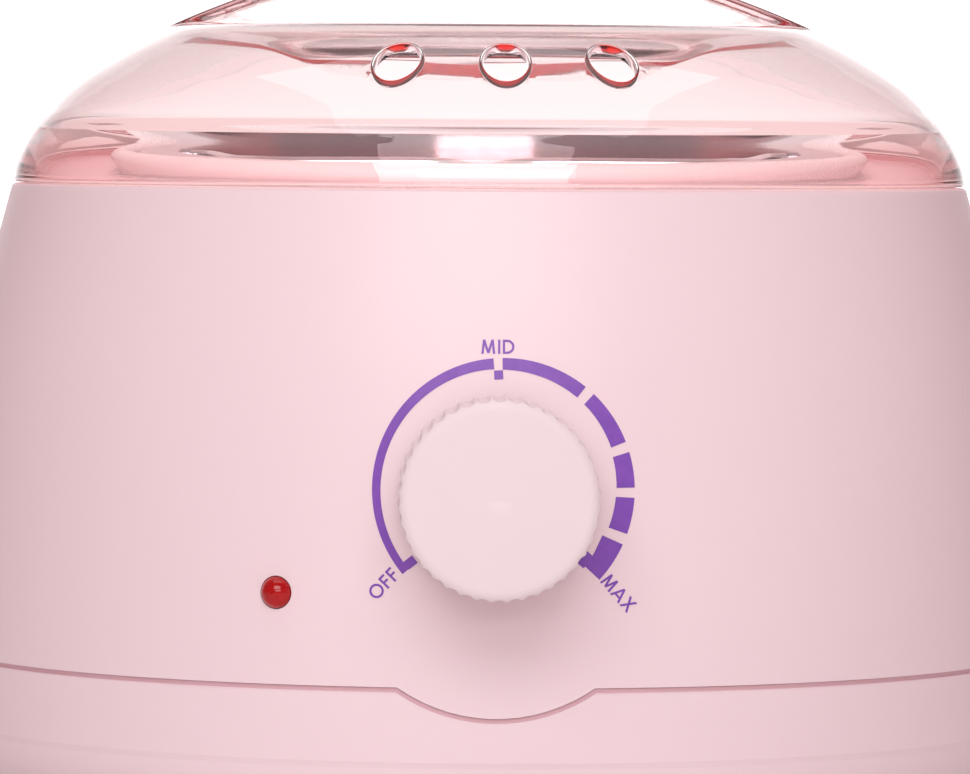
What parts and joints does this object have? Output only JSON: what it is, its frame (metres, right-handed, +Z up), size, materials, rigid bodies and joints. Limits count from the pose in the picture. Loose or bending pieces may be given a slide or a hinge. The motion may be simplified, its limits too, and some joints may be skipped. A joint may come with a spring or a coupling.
{
  "type": "pot wax warmer",
  "caption": "Round tabletop wax warmer: pink two-shell housing with a dial and pilot lamp, heated well, lift-out pot with bail, clear rose domed lid with grip ridge.",
  "frame": {"origin": "on the housing's vertical axis at table height; the tray's flat underside is 1.2 mm above it because the rubber feet stand that far proud", "axes": "+Z up along the housing axis; the dial faces -Y; the cord entry faces +Y; +X is to the right of someone facing the dial"},
  "size_m": [0.189, 0.2132, 0.1458],
  "materials": {
    "pink_plastic": "smooth gloss moulding",
    "white_plastic": "smooth gloss moulding",
    "knob_plastic": "fine satin-gloss moulding",
    "clear_rose_plastic": "clear tinted gloss moulding",
    "foot_rubber": "matt",
    "zinc_steel": "zinc plated",
    "well_aluminium": "satin",
    "mica_band": "steel sheathed mica band",
    "spring_steel": "bare",
    "glass_fibre": "felted",
    "shield_aluminium": "bright",
    "ceramic": "unglazed ceramic",
    "brass_parts": "turned",
    "fuse_case": "satin",
    "lens_red": "clear red gloss",
    "holder_plastic": "nylon",
    "lamp_glass": "clear",
    "board": "lacquered board",
    "gland_plastic": "nylon",
    "lead_sleeve": "silicone sleeve",
    "pot_aluminium": "spun satin",
    "ear_steel": "bright",
    "bail_wire": "bright drawn wire"
  },
  "bodies": {
    "housing": {"upper_housing": "pink_plastic", "base_tray": "pink_plastic", "pot_collar": "white_plastic", "rubber_feet": "foot_rubber", "housing_screws": "zinc_steel", "heating_well": "well_aluminium", "heater_band": "mica_band", "band_clamp": "spring_steel", "clamp_screw": "zinc_steel", "insulation_wrap": "glass_fibre", "heat_shield": "shield_aluminium", "shield_screws": "zinc_steel", "well_brackets": "zinc_steel", "well_screws": "zinc_steel", "thermostat_body": "ceramic", "thermostat_bracket": "zinc_steel", "thermostat_bush": "brass_parts", "thermostat_nut": "brass_parts", "thermostat_terminals": "brass_parts", "thermal_fuse": "fuse_case", "fuse_clip": "spring_steel", "fuse_screw": "zinc_steel", "indicator_lens": "lens_red", "indicator_holder": "holder_plastic", "indicator_lamp": "lamp_glass", "indicator_board": "board", "terminal_block": "holder_plastic", "terminal_screws": "brass_parts", "cord_gland": "gland_plastic", "cord_clamp": "holder_plastic", "cord_clamp_screws": "zinc_steel", "lead_thermostat": "lead_sleeve", "lead_heater": "lead_sleeve", "lead_indicator": "lead_sleeve"},
    "knob": {"control_knob": "knob_plastic", "knob_clip": "spring_steel", "thermostat_shaft": "brass_parts"},
    "pot": {"wax_pot": "pot_aluminium", "pot_ears": "ear_steel", "ear_rivets": "pot_aluminium"},
    "bail": {"pot_handle": "bail_wire"},
    "lid": {"lid": "clear_rose_plastic"}
  },
  "joints": [
    {"name": "knob_turn", "type": "hinge", "parent": "housing", "child": "knob", "pos_m": [0, -0.105, 0.056], "axis": [0, 1, 0], "range_deg": [0, 263]},
    {"name": "pot_lift", "type": "slide", "parent": "housing", "child": "pot", "axis": [0, 0, 1], "range_m": [0, 0.14]},
    {"name": "lid_lift", "type": "slide", "parent": "pot", "child": "lid", "axis": [0, 0, 1], "range_m": [0, 0.16]},
    {"name": "bail_swing", "type": "hinge", "parent": "pot", "child": "bail", "pos_m": [0, 0, 0.1067], "axis": [-1, 0, 0], "range_deg": [0, 90]}
  ],
  "couplings": [
    {"joint": "bail_swing", "follows": "lid_lift", "rad_per_m": 9.8173}
  ]
}
